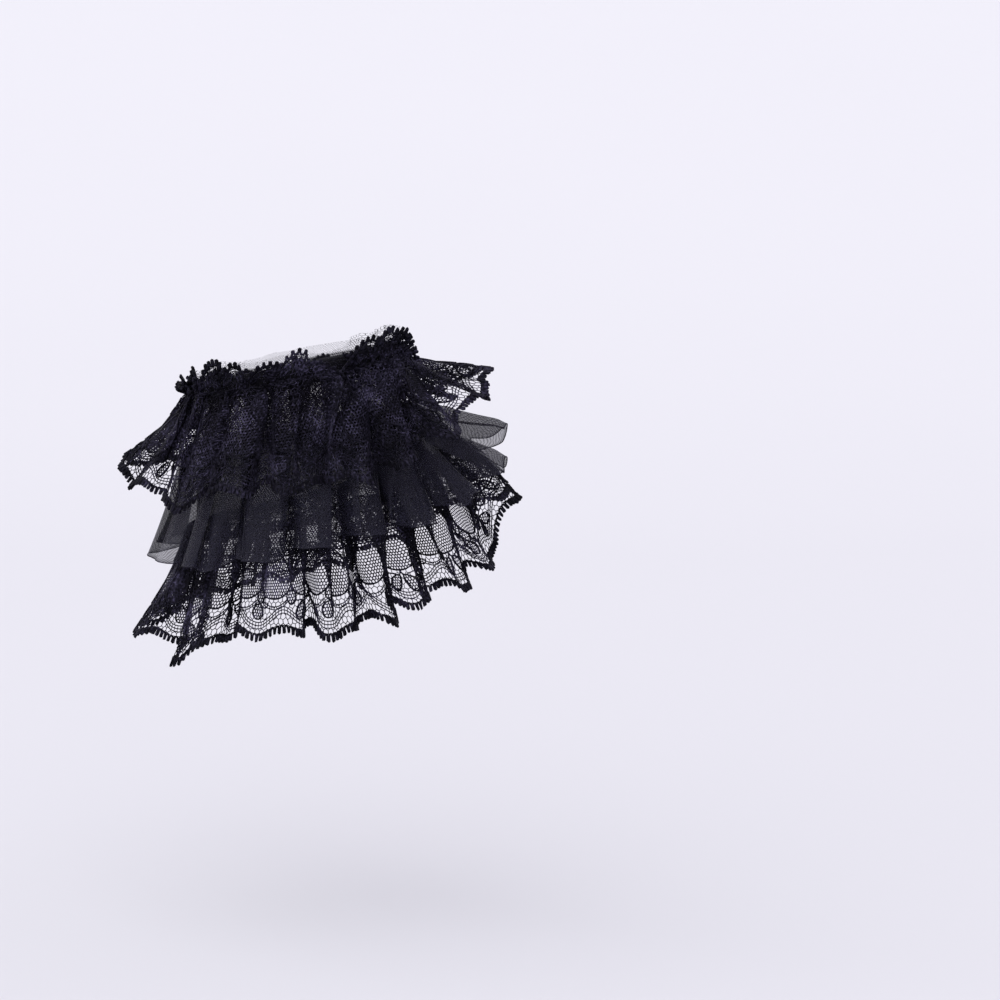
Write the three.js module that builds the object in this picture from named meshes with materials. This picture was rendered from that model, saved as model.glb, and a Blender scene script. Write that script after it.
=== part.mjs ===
// A black lace sock cuff, in the form that it takes on an ankle: a narrow elastic inside
// a net tube, and three gathered ruffles sewn round the tube, of lace, organza and lace.
// The upper lace is gathered a little below its top edge, which stands up as a heading.
// Millimetres and degrees. +Z is up the leg, the origin is the middle of the elastic,
// and an angle of 0 faces -Y, with 90 at +X.
import * as THREE from "three";

// The driving dimensions
const LEG_RADIUS = 37;
const CLOTH = 1; // thickness of each cloth wall
const CLEAR = 0.35; // air between two layers
const ELASTIC = { tall: 7, columns: 72 };
const COLUMNS = 144; // steps round each ruffle, six for each scallop
const SCALLOPS = 24;
const HEM_STEPS = 60; // steps in which the hem's length is measured, between two points
const HEM_LINE = 0.6; // height in a scallop, from notch to tip, of the level that the tables give
const SHOULDER = 0.16; // share of a flute's depth by which its shoulders fall short of its crest

const ELASTIC_RADIUS = LEG_RADIUS + CLOTH / 2;
const NET_RADIUS = ELASTIC_RADIUS + CLOTH + CLEAR;
const SEAM_RADIUS = NET_RADIUS + CLOTH + CLEAR;

// The cuff sits aslant: every level round the leg climbs towards one side.
const SLANT = { climb: 7.8, towards: 75 };
// Lower down, the tube is pushed out and up where the heel begins.
const HEEL = { towards: 105, power: 3 };
const HEEL_LEVELS = [
  { level: 20, out: 0, up: 0 },
  { level: -8, out: 0, up: 0 },
  { level: -22, out: 3, up: 1 },
  { level: -40, out: 11, up: 6 },
  { level: -58, out: 19, up: 12 },
  { level: -110, out: 24, up: 20 },
];

// The net tube, from its lower end to the frill that stands above the elastic
const NET = { rings: [-8, -22, -40, -57], frill: 2.4, lean: 1.2, neck: 4.5, columns: 108 };
// The heading, from its scalloped top edge to just above the gathering stitches
const HEADING = { foot: 1.3, frill: 2.8, lean: 4.6, scallop: 1.6, rows: [1, 0.45, 0] };
// Height of the heading, and of the net behind it, above the seam
const HEADING_HEIGHTS = [
  { at: -180, lace: 6.5, net: 9 },
  { at: -130, lace: 5.5, net: 8 },
  { at: -92, lace: 4, net: 6.5 },
  { at: -60, lace: 7.5, net: 9.5 },
  { at: -42, lace: 9.5, net: 11.5 },
  { at: -20, lace: 6, net: 9 },
  { at: 4, lace: 7.5, net: 10 },
  { at: 20, lace: 4, net: 7.5 },
  { at: 45, lace: 9.5, net: 12 },
  { at: 70, lace: 11, net: 13 },
  { at: 92, lace: 5.5, net: 8.5 },
  { at: 130, lace: 6, net: 8.5 },
];
// Two waves that together give the frill its uneven curls
const CURLS = [
  { count: 15, share: 0.62, start: 20 },
  { count: 22, share: 0.38, start: 115 },
];

// Each ruffle has the level of its seam, how far it falls, how soon it leaves the tube,
// how much higher its hem is in the valleys, the depth of its scallops, and its folds.
// A fold is a flute: where it points, half its width, how far its crest reaches from
// the leg's axis, the height of its hem, the radius of the valley after it, where its
// shoulders droop below its crest, by how much, and, where its cloth arches up before it
// falls, by how much. Its rows run from the seam at 0 to the hem at 1.
const UPPER_LACE = {
  level: 0,
  fall: 41,
  hug: 1.15,
  lift: 1.5,
  scallop: 3.2,
  rows: [0, 0.35, 0.7, 1],
  folds: [
    { at: -94, half: 8, reach: 68, hem: -32, droop: 5, pinch: 65 },
    { at: -70, half: 7, reach: 66, hem: -41, pinch: 57 },
    { at: -47, half: 7, reach: 63, hem: -46, pinch: 50 },
    { at: -24, half: 8, reach: 59, hem: -40, pinch: 50 },
    { at: 3, half: 7, reach: 59, hem: -38, pinch: 50 },
    { at: 27, half: 6, reach: 60, hem: -35, pinch: 51 },
    { at: 48, half: 6, reach: 63, hem: -30, pinch: 54, arch: 2 },
    { at: 65, half: 5, reach: 71, hem: -20, pinch: 66, arch: 3 },
    { at: 82, half: 6, reach: 75, hem: -8, pinch: 73, arch: 4 },
    { at: 99, half: 6, reach: 77, hem: 2, droop: 4, pinch: 62, arch: 4 },
    { at: 121, half: 7, reach: 70, hem: -12, pinch: 53 },
    { at: 145, half: 7, reach: 64, hem: -25, pinch: 51 },
    { at: 169, half: 7, reach: 62, hem: -32, pinch: 50 },
    { at: 193, half: 7, reach: 61, hem: -35, pinch: 50 },
    { at: 217, half: 7, reach: 63, hem: -37, pinch: 51 },
    { at: 242, half: 7, reach: 65, hem: -38, pinch: 54 },
  ],
};
const ORGANZA = {
  level: -20,
  fall: 43,
  hug: 1.3,
  lift: 1,
  scallop: 0,
  rows: [0, 0.4, 0.72, 1],
  folds: [
    { at: -73, half: 14, reach: 60, hem: -70, pinch: 49 },
    { at: -38, half: 8, reach: 59, hem: -69, pinch: 47.5 },
    { at: -12, half: 7, reach: 57, hem: -65, pinch: 47 },
    { at: 13, half: 7, reach: 57, hem: -60, pinch: 47.5 },
    { at: 35, half: 6, reach: 58, hem: -56, pinch: 49 },
    { at: 54, half: 5, reach: 64, hem: -54, pinch: 54 },
    { at: 70, half: 5, reach: 75, hem: -43, droop: 3, pinch: 67 },
    { at: 86, half: 6, reach: 83, hem: -31, droop: 6, pinch: 71 },
    { at: 104, half: 6, reach: 84, hem: -22, droop: 6, pinch: 66 },
    { at: 124, half: 6, reach: 76, hem: -32, droop: 3, pinch: 57 },
    { at: 147, half: 7, reach: 67, hem: -46, pinch: 50 },
    { at: 172, half: 7, reach: 61, hem: -56, pinch: 48 },
    { at: 198, half: 7, reach: 58, hem: -61, pinch: 47.5 },
    { at: 224, half: 7, reach: 58, hem: -65, pinch: 47.5 },
    { at: 250, half: 7, reach: 59, hem: -68, pinch: 48 },
  ],
};
const LOWER_LACE = {
  level: -51,
  fall: 44,
  hug: 1.25,
  lift: 1.5,
  scallop: 3.2,
  rows: [0, 0.4, 0.72, 1],
  folds: [
    { at: -78, half: 12, reach: 64, hem: -97, pinch: 49 },
    { at: -49, half: 3, reach: 62, hem: -107, pinch: 50 },
    { at: -35, half: 5, reach: 60, hem: -99, pinch: 48 },
    { at: -8, half: 12, reach: 60, hem: -93, pinch: 47 },
    { at: 20, half: 7, reach: 60, hem: -92, pinch: 49 },
    { at: 39, half: 4, reach: 62, hem: -88, pinch: 52 },
    { at: 54, half: 4, reach: 65, hem: -82, pinch: 57 },
    { at: 68, half: 5, reach: 72, hem: -79, pinch: 70 },
    { at: 82, half: 5, reach: 78, hem: -71, pinch: 79 },
    { at: 99, half: 7, reach: 88, hem: -49, droop: 3, pinch: 76, arch: 8 },
    { at: 121, half: 6, reach: 81, hem: -58, pinch: 64, arch: 4 },
    { at: 145, half: 7, reach: 70, hem: -75, pinch: 53 },
    { at: 169, half: 7, reach: 64, hem: -86, pinch: 49 },
    { at: 194, half: 7, reach: 62, hem: -91, pinch: 48 },
    { at: 220, half: 7, reach: 62, hem: -94, pinch: 48 },
    { at: 247, half: 8, reach: 63, hem: -96, pinch: 48 },
  ],
};

const radians = THREE.MathUtils.degToRad;

// A point at an angle round the leg, a radius and a height.
function polar(angle, radius, height) {
  const a = radians(angle);
  return new THREE.Vector3(radius * Math.sin(a), -radius * Math.cos(a), height);
}

// A column of a table at a place along it, in a straight line from row to row.
function between(rows, key, column, place) {
  const b = Math.max(1, rows.findIndex((row) => row[key] <= place));
  const s = THREE.MathUtils.inverseLerp(rows[b - 1][key], rows[b][key], place);
  return THREE.MathUtils.lerp(rows[b - 1][column], rows[b][column], s);
}

// A point on the leg's tube at an angle and a level, for cloth of the given radius.
function onLeg(angle, level, radius) {
  const bump = Math.max(0, Math.cos(radians(angle - HEEL.towards))) ** HEEL.power;
  const out = bump * between(HEEL_LEVELS, "level", "out", level);
  const up = bump * between(HEEL_LEVELS, "level", "up", level);
  const climb = SLANT.climb * Math.cos(radians(angle - SLANT.towards));
  return polar(angle, radius + out, level + climb + up);
}

// The frill's inward and outward curl at an angle, from -1 to 1.
function curl(angle) {
  let sum = 0;
  for (const c of CURLS)
    sum += c.share * Math.sin(radians(c.count * angle + c.start));
  return sum;
}

// Height of the heading's lace or net at an angle, eased from row to row round the leg.
function headingHeight(column, angle) {
  const rows = HEADING_HEIGHTS;
  const turn = THREE.MathUtils.euclideanModulo(angle + 180, 360) - 180;
  const i = rows.findLastIndex((row) => row.at <= turn);
  const a = rows[i];
  const b = rows[(i + 1) % rows.length];
  const span = THREE.MathUtils.euclideanModulo(b.at - a.at, 360);
  const s = THREE.MathUtils.smoothstep(turn - a.at, 0, span);
  return THREE.MathUtils.lerp(a[column], b[column], s);
}

// The scalloped edge: 0 in the notches and 1 at the middle of each scallop.
function scallop(share) {
  return Math.sqrt(Math.abs(Math.sin(Math.PI * SCALLOPS * share)));
}

// The hem's control points, four for each fold: the valley before it, a shoulder, the
// crest and a shoulder. The valley before the first fold is the one after the last.
function hemPoints(row) {
  const { folds, lift } = row;
  const points = [];
  const valleys = [];
  folds.forEach((fold, i) => {
    const before = folds[(i + folds.length - 1) % folds.length];
    const turn = i === 0 ? 360 : 0;
    const valley = (fold.at - fold.half + before.at + before.half - turn) / 2;
    const shoulder = fold.reach - SHOULDER * (fold.reach - fold.pinch);
    const low = (one) => one.hem - (one.droop ?? 0);
    valleys.push(valley);
    points.push(polar(valley, before.pinch, (low(fold) + low(before)) / 2 + lift));
    points.push(polar(fold.at - fold.half, shoulder, low(fold)));
    points.push(polar(fold.at, fold.reach, fold.hem));
    points.push(polar(fold.at + fold.half, shoulder, low(fold)));
  });
  return { points, valleys };
}

// The columns of a ruffle: for each, its hem point and the angle where it is sewn to the
// tube. The cloth of one flute is sewn between that flute's two valleys.
function gather(row) {
  const { points, valleys } = hemPoints(row);
  const curve = new THREE.CatmullRomCurve3(points, true, "catmullrom", 0.5);
  curve.arcLengthDivisions = points.length * HEM_STEPS;
  const lengths = curve.getLengths();
  const whole = lengths[lengths.length - 1];
  const stops = valleys.map((_, i) => lengths[4 * i * HEM_STEPS] / whole);
  stops.push(1);
  const angles = [...valleys, valleys[0] + 360];
  const columns = [];
  for (let j = 0; j < COLUMNS; j += 1) {
    const share = j / COLUMNS;
    const i = stops.findLastIndex((stop) => stop <= share);
    const s = (share - stops[i]) / (stops[i + 1] - stops[i]);
    const angle = THREE.MathUtils.lerp(angles[i], angles[i + 1], s);
    const arch = (row.folds[i].arch ?? 0) * Math.sin(Math.PI * s);
    columns.push({ share, angle, arch, hem: curve.getPointAt(share) });
  }
  return columns;
}

// A ruffle's surface at a column, t = 0 at the seam and 1 at the hem's line. The cloth
// follows the tube down and leaves it more and more for the hem.
function fallen(row, column, t) {
  const tube = onLeg(column.angle, row.level - row.fall * t, SEAM_RADIUS);
  const below = onLeg(column.angle, row.level - row.fall, SEAM_RADIUS);
  const swing = new THREE.Vector3().subVectors(column.hem, below);
  const point = tube.addScaledVector(swing, Math.pow(t, row.hug));
  point.z += column.arch * Math.sin(Math.PI * Math.min(t, 1));
  return point;
}

// A closed wall of cloth round a sheet of points: sheet[i][j] is row i, column j, with
// the rows from the top down and the columns going once round.
function wall(sheet) {
  const rows = sheet.length;
  const columns = sheet[0].length;
  const positions = [];
  const across = new THREE.Vector3();
  const down = new THREE.Vector3();
  for (const side of [0.5, -0.5]) {
    for (let i = 0; i < rows; i += 1) {
      for (let j = 0; j < columns; j += 1) {
        const next = sheet[i][(j + 1) % columns];
        const last = sheet[i][(j + columns - 1) % columns];
        across.subVectors(next, last);
        down.subVectors(sheet[Math.min(i + 1, rows - 1)][j], sheet[Math.max(i - 1, 0)][j]);
        const normal = down.cross(across).normalize();
        const p = sheet[i][j].clone().addScaledVector(normal, side * CLOTH);
        positions.push(p.x, p.y, p.z);
      }
    }
  }
  const index = [];
  const vertex = (side, i, j) => (side * rows + i) * columns + (j % columns);
  const quad = (a, b, c, d) => index.push(a, b, c, a, c, d);
  for (let j = 0; j < columns; j += 1) {
    for (let i = 0; i + 1 < rows; i += 1) {
      quad(vertex(0, i, j), vertex(0, i + 1, j), vertex(0, i + 1, j + 1), vertex(0, i, j + 1));
      quad(vertex(1, i, j), vertex(1, i, j + 1), vertex(1, i + 1, j + 1), vertex(1, i + 1, j));
    }
    const end = rows - 1;
    quad(vertex(0, 0, j), vertex(0, 0, j + 1), vertex(1, 0, j + 1), vertex(1, 0, j));
    quad(vertex(0, end, j), vertex(1, end, j), vertex(1, end, j + 1), vertex(0, end, j + 1));
  }
  const geometry = new THREE.BufferGeometry();
  geometry.setAttribute("position", new THREE.Float32BufferAttribute(positions, 3));
  geometry.setIndex(index);
  return geometry;
}

// Evenly spaced angles, once round
function turns(steps) {
  return Array.from({ length: steps }, (_, j) => (360 * j) / steps);
}

// The narrow elastic that holds the cuff up, inside the net tube
function elasticBand() {
  const ring = (level) =>
    turns(ELASTIC.columns).map((angle) => onLeg(angle, level, ELASTIC_RADIUS));
  return wall([ring(ELASTIC.tall / 2), ring(-ELASTIC.tall / 2)]);
}

// The net tube: plain on the leg, and gathered into a frill above the elastic
function netTube() {
  const angles = turns(NET.columns);
  const frill = (up) =>
    angles.map((angle) => {
      const level = THREE.MathUtils.lerp(NET.neck, headingHeight("net", angle), up);
      return onLeg(angle, level, NET_RADIUS + up * (NET.lean + NET.frill * curl(angle)));
    });
  const ring = (level) => angles.map((angle) => onLeg(angle, level, NET_RADIUS));
  return wall([frill(1), frill(0), ...NET.rings.map(ring)]);
}

// A ruffle below its seam, with a scalloped hem where it has one
function ruffle(row) {
  const columns = gather(row);
  const sheet = row.rows.map((t) =>
    columns.map((column) => {
      const edge = t === 1 ? (row.scallop / row.fall) * (scallop(column.share) - HEM_LINE) : 0;
      return fallen(row, column, t + edge);
    }),
  );
  return wall(sheet);
}

// The part of the upper lace that stands above its gathering stitches. Its scallops
// fall where those of the ruffle below do, as on one lace with an edge on both sides.
function heading() {
  const columns = gather(UPPER_LACE);
  const row = (up) =>
    columns.map(({ angle, share }) => {
      const edge = HEADING.scallop * (scallop(share) - HEM_LINE);
      const top = headingHeight("lace", angle) + edge;
      const level = THREE.MathUtils.lerp(HEADING.foot, top, up);
      return onLeg(angle, level, SEAM_RADIUS + up * (HEADING.lean + HEADING.frill * curl(angle)));
    });
  return wall(HEADING.rows.map(row));
}

const black = (red, green, blue, roughness) =>
  new THREE.MeshStandardMaterial({
    color: new THREE.Color(red, green, blue),
    roughness,
    metalness: 0,
  });

function piece(name, geometry, material) {
  geometry.computeVertexNormals();
  const mesh = new THREE.Mesh(geometry, material);
  mesh.name = name;
  return mesh;
}

const cuff = new THREE.Group();
cuff.add(
  piece("elastic_band", elasticBand(), black(0.01, 0.01, 0.012, 0.9)),
  piece("net_tube", netTube(), black(0.012, 0.012, 0.016, 0.8)),
  piece("lace_heading", heading(), black(0.014, 0.013, 0.02, 0.75)),
  piece("upper_lace_ruffle", ruffle(UPPER_LACE), black(0.014, 0.013, 0.02, 0.75)),
  piece("organza_ruffle", ruffle(ORGANZA), black(0.022, 0.021, 0.03, 0.45)),
  piece("lower_lace_ruffle", ruffle(LOWER_LACE), black(0.014, 0.013, 0.02, 0.75)),
);

export default cuff;
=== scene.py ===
"""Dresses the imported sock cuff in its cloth: net, elastic, lace and organza."""

import math

import bpy
import numpy as np
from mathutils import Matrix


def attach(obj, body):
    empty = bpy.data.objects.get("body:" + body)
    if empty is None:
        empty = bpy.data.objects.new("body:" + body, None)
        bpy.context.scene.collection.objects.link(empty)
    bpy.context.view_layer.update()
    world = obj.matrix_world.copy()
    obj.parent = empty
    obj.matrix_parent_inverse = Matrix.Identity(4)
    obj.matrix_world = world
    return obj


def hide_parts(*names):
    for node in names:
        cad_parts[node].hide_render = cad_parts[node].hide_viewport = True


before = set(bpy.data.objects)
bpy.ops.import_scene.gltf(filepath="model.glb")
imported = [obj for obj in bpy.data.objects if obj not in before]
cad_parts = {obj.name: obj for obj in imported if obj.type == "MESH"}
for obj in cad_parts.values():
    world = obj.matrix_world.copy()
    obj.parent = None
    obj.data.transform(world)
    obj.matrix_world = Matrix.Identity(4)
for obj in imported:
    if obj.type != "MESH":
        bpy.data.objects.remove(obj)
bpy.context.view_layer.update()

# Lengths below are in millimetres and angles in degrees, as in the part's source
MM = 0.001


def table(columns, *rows):
    """A table with named columns, as one array for each column. Cells left out at a row's end are 0."""
    names = columns.split()
    cells = np.array([(*row, *[0] * (len(names) - len(row))) for row in rows], float)
    return {name: cells[:, i] for i, name in enumerate(names)}


def rows_of(cells):
    """A table's rows, each with its columns' names."""
    return [dict(zip(cells, row)) for row in zip(*cells.values())]


def named(columns, cells):
    """One row of values with their names."""
    return dict(zip(columns.split(), cells))


# The camera stands at the photograph's place, and comes before everything that it shows
CAMERA = {
    "pitch": 8,
    "distance": 1200,
    "scale": 0.39,
    "origin": (295, 375),
    "frame": 1000,
    "sensor": 36,
    "sees_metres": 50,
}


def place_camera():
    """The origin lies at its pixel of the frame, and a pixel there is scale wide."""
    pitch = math.radians(CAMERA["pitch"])
    ahead = np.array([0, math.cos(pitch), -math.sin(pitch)])
    up = np.array([0, -ahead[2], ahead[1]])
    middle = CAMERA["frame"] / 2
    right = (middle - CAMERA["origin"][0]) * CAMERA["scale"]
    lower = (middle - CAMERA["origin"][1]) * CAMERA["scale"]
    place = np.array([right, 0, 0]) - lower * up - CAMERA["distance"] * ahead
    data = bpy.data.cameras.new("camera")
    data.sensor_width = CAMERA["sensor"]
    data.lens = data.sensor_width * CAMERA["distance"] / (CAMERA["scale"] * CAMERA["frame"])
    data.clip_end = CAMERA["sees_metres"]
    camera = bpy.data.objects.new("camera", data)
    camera.location = place * MM
    camera.rotation_euler = (math.radians(90 - CAMERA["pitch"]), 0, 0)
    bpy.context.scene.collection.objects.link(camera)
    bpy.context.scene.camera = camera


place_camera()

# The cuff's own sizes
HOLLOW_RADIUS = 37
CLOTH = 1
CLEAR = 0.35
SCALLOP_WIDE = 27
ELASTIC_RADIUS = HOLLOW_RADIUS + CLOTH / 2
NET_RADIUS = ELASTIC_RADIUS + CLOTH + CLEAR
SEAM_RADIUS = NET_RADIUS + CLOTH + CLEAR
ELASTIC = {"tall": 7, "half_thick": 0.45, "squared": 1.6, "steps": 12}
SLANT = {"climb": 7.8, "towards": 75}
HEEL = {"towards": 105, "power": 3}
HEEL_LEVELS = table(
    "level out up",
    (-110, 24, 20),
    (-58, 19, 12),
    (-40, 11, 6),
    (-22, 3, 1),
    (-8, 0, 0),
    (20, 0, 0),
)
NET = {"bottom": -57, "neck": 4.5, "top": 12, "frill": 2.4, "lean": 1.2}
# How far the heading curls and leans out, the depth of its scallops, the room and the length of its teeth,
# and the threads that run below them
HEADING = {"frill": 0.56, "lean": 3.68, "scallop": 1.6, "room": 1.7, "teeth": 1.5, "lines": (1.2, 2.1)}
# Heights of the heading's lace and of the net's frill above the elastic's middle, round the cuff
HEADING_HEIGHTS = table(
    "at lace net",
    (-180, 6.5, 9),
    (-130, 5.5, 8),
    (-92, 4, 6.5),
    (-60, 7.5, 9.5),
    (-42, 9.5, 11.5),
    (-20, 6, 9),
    (4, 7.5, 10),
    (20, 4, 7.5),
    (45, 9.5, 12),
    (70, 11, 13),
    (92, 5.5, 8.5),
    (130, 6, 8.5),
    (180, 6.5, 9),
)
# Lobes of the heading that stand higher or lower than the rest. A high one leans in, and a low one out
LOBES = table(
    "at half tall",
    (-74, 14, -1),
    (-67, 6, 2),
    (-55, 3, -2.5),
    (-46, 5, 1.5),
    (-36, 4, -1.5),
    (-28, 4, 1),
    (-20, 4, -1.5),
    (-11, 4, 1),
    (-4, 3, -1.5),
    (6, 7, 2.5),
    (24, 7, -4),
    (38, 5, 1),
    (49, 4, -1.5),
    (56, 6, 1),
    (66, 7, -2),
    (88, 11, -4),
    (118, 9, -2),
    (140, 7, -0.5),
    (157, 7, -3),
    (173, 7, 1.5),
    (184, 4, -1.5),
    (200, 5, -1.5),
    (215, 5, -1.5),
    (226, 6, 2),
    (180, 62, -3.5),
)
LOBE_LEAN = 0.8
# The scalloped edge crosses its level line at this share of a scallop's depth
HEM_LINE = 0.6
# How far a flute's shoulders lie in from its crest, as a share of the way to the valley
SHOULDER = 0.16

# Each ruffle's small pleats: the cloth's length over its hem's, the fine crimps at the seam, their depth
# and their swing, the broad folds, their depth and the share of it that is lost towards the hem, the hem's
# flutter, and the depth and rise of the heading's folds
PLEATS = "full fine deep over broad folded loosened flutter ruff arc"
# Each ruffle's folds, close to those in the part's source: where a flute points, half its width, how
# far its crest reaches, the height of its hem, the valley after it, its arch and its droop
FOLDS = "at half reach hem pinch arch droop"
# calm says where a ruffle hangs in one smooth flute, and the share of its small folds that is gone there
UPPER_LACE = {
    "level": 0,
    "fall": 41,
    "wide": 43,
    "heading": 10.5,
    "hug": 1.15,
    "lift": 1.5,
    "scallop": 3.2,
    "calm": ((-84, 0.95), (92, 0.8)),
    "pleats": named(PLEATS, (1.22, 91, 1.6, 0.4, 25, 7, 0.8, 0.6, 5, 2.4)),
    "folds": table(
        FOLDS,
        (-94, 8, 68, -32, 70, 0, 5),
        (-70, 7, 66, -41, 57),
        (-47, 7, 63, -46, 50),
        (-24, 8, 59, -40, 50),
        (3, 7, 59, -38, 50),
        (27, 6, 60, -35, 51),
        (48, 6, 63, -30, 54, 2),
        (65, 5, 71, -20, 66, 3),
        (82, 6, 75, -8, 78, 4),
        (99, 6, 77, 2, 62, 4, 4),
        (121, 7, 70, -12, 53),
        (145, 7, 64, -25, 51),
        (169, 7, 62, -32, 50),
        (193, 7, 61, -35, 50),
        (217, 7, 63, -37, 51),
        (242, 7, 65, -38, 54),
    ),
}
ORGANZA = {
    "level": -20,
    "fall": 43,
    "wide": 45,
    "hug": 1.3,
    "lift": 1,
    "calm": ((-5, 0.4),),
    "pleats": named(PLEATS, (1.5, 83, 1.6, 0.5, 25, 5, 0.2, 0.5, 0, 0)),
    "folds": table(
        FOLDS,
        (-73, 14, 57, -70, 48),
        (-38, 8, 59, -69, 47.5),
        (-12, 7, 57, -65, 47),
        (13, 7, 57, -60, 47.5),
        (35, 6, 58, -56, 49),
        (54, 5, 64, -54, 54),
        (70, 5, 75, -43, 67, 0, 3),
        (86, 6, 83, -31, 71, 0, 6),
        (104, 6, 84, -22, 66, 0, 6),
        (124, 6, 76, -32, 57, 0, 3),
        (147, 7, 67, -46, 50),
        (172, 7, 61, -56, 48),
        (198, 7, 58, -61, 47.5),
        (224, 7, 58, -65, 47.5),
        (250, 7, 59, -68, 48),
    ),
}
LOWER_LACE = {
    "level": -51,
    "fall": 44,
    "wide": 46,
    "hug": 1.17,
    "lift": 1.5,
    "scallop": 3.2,
    "calm": ((-76, 0.95), (-8, 0.7), (98, 0.25)),
    "pleats": named(PLEATS, (1.2, 89, 1.6, 0.4, 27, 5, 0.9, 0.6, 0, 0)),
    "folds": table(
        FOLDS,
        (-78, 12, 64, -99.5, 49),
        (-47, 1.6, 61, -105.5, 50),
        (-35, 5, 60, -99, 48),
        (-8, 12, 60, -93, 47),
        (20, 7, 60, -93.5, 49),
        (39, 4, 62, -89.5, 52),
        (54, 4, 65, -84.5, 57),
        (68, 5, 72, -79.5, 70),
        (82, 5, 78, -73, 79),
        (99, 7, 88, -49, 76, 8, 3),
        (121, 6, 81, -58, 64, 4),
        (145, 7, 70, -75, 53),
        (169, 7, 64, -86, 49),
        (194, 7, 62, -91, 48),
        (220, 7, 62, -94, 48),
        (247, 8, 63, -96, 48),
    ),
}
# Half the width of a calm place
CALM_HALF = 20

# Waves round the cuff, each with its turns, its size and its start
WAVES = "count share start"
CURLS = table(WAVES, (15, 0.62, 20 / 360), (22, 0.38, 115 / 360))
UNEVEN = table(WAVES, (7, 0.3, 0.1), (17, 0.2, 0.37), (29, 0.12, 0.71))
FLUTTER = table(WAVES, (53, 0.6, 0.2), (83, 0.4, 0.6))
UNEVEN_LOBES = table(WAVES, (9, 0.35, 0.3), (13, 0.4, 0.6))
FRILL_CRIMPS = table(WAVES, (61, 0.9, 0.3), (97, 0.5, 0.8))
PUCKERS = table(WAVES, (91, 0.12, 0.2), (60, 0.08, 0.5))
# How much those uneven waves shift the folds: in folds, or for the broad ones in a share of their number
SHIFTED = {"fine": 0.5, "broad": 0.01, "heading": 0.1}
# Shares of the cloth's height over which the seam's crimps fade, the broad folds open, and the heading's
# crimps fade
FADES = {"crimps": 0.13, "folds": 0.05, "heading": 0.4}
# A knife fold runs forward for this share of its cloth, and back under itself with the rest. It is drawn
# in steps, and its turns are rounded over some of them
FORWARD = 0.7
FOLD_STEPS = 240
ROUNDED_STEPS = 12
# Each fold of the heading bends up in an arc of so many half turns
LOBE_ARC = 2.6


def polar(angle, radius, height):
    """Points at angles round the cuff, radii and heights."""
    a = np.radians(angle)
    return np.stack([radius * np.sin(a), -radius * np.cos(a), height + 0 * a], axis=-1)


def on_tube(angle, level, radius):
    """Points on the slanted and flared tube, for cloth of the given radius."""
    bump = np.maximum(0, np.cos(np.radians(angle - HEEL["towards"]))) ** HEEL["power"]
    out = bump * np.interp(level, HEEL_LEVELS["level"], HEEL_LEVELS["out"])
    up = bump * np.interp(level, HEEL_LEVELS["level"], HEEL_LEVELS["up"])
    climb = SLANT["climb"] * np.cos(np.radians(angle - SLANT["towards"]))
    return polar(angle, radius + out, level + climb + up)


def wave(share, count, start):
    """A wave of so many turns round the cuff, from -1 to 1."""
    return np.sin(2 * np.pi * (count * share + start))


def waves(share, rows):
    """The waves of a table, added up."""
    return sum(much * wave(share, count, start) for count, much, start in zip(*rows.values()))


def bell(angle, at, half):
    """A hump round one angle of the cuff: 1 there, and almost 0 at twice its half width."""
    return np.exp(-((((angle - at + 180) % 360 - 180) / half) ** 2))


def heading_height(column, angle):
    """Height of the heading's lace or net, eased from row to row round the cuff."""
    at = HEADING_HEIGHTS["at"]
    heights = HEADING_HEIGHTS[column]
    turn = (np.asarray(angle) + 180) % 360 - 180
    i = np.clip(np.searchsorted(at, turn, side="right") - 1, 0, len(at) - 2)
    s = (turn - at[i]) / (at[i + 1] - at[i])
    s = s * s * (3 - 2 * s)
    return heights[i] + (heights[i + 1] - heights[i]) * s


def scallop(x):
    """The scalloped edge: 0 in the notches and 1 at the middle of each scallop."""
    return np.sin(np.pi * x / SCALLOP_WIDE) ** 2


def unit(vectors):
    """The vectors at length 1."""
    return vectors / np.maximum(np.linalg.norm(vectors, axis=-1, keepdims=True), 1e-9)


def turns_at(share, count, shifted):
    """How many folds lie before a share of the round, and how many the whole would have at the rate there."""
    turns = count * share
    rate = count + 0 * share
    for turned, much, start in zip(*UNEVEN.values()):
        turns = turns + shifted * much * wave(share, turned, start)
        rate = rate + shifted * much * 2 * np.pi * turned * wave(share, turned, start + 0.25)
    return turns, rate


def knife(turns):
    """Where the cloth is in its fold, from -0.5 at the fold that lies under to 0.5 at the one on top."""
    turn = np.arange(FOLD_STEPS) / FOLD_STEPS
    sharp = np.where(turn < FORWARD, turn / FORWARD, (1 - turn) / (1 - FORWARD)) - 0.5
    shifts = range(-ROUNDED_STEPS, ROUNDED_STEPS + 1)
    rounded = sum(np.roll(sharp, k) for k in shifts) / len(shifts)
    return np.interp(turns, turn, rounded, period=1)


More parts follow.
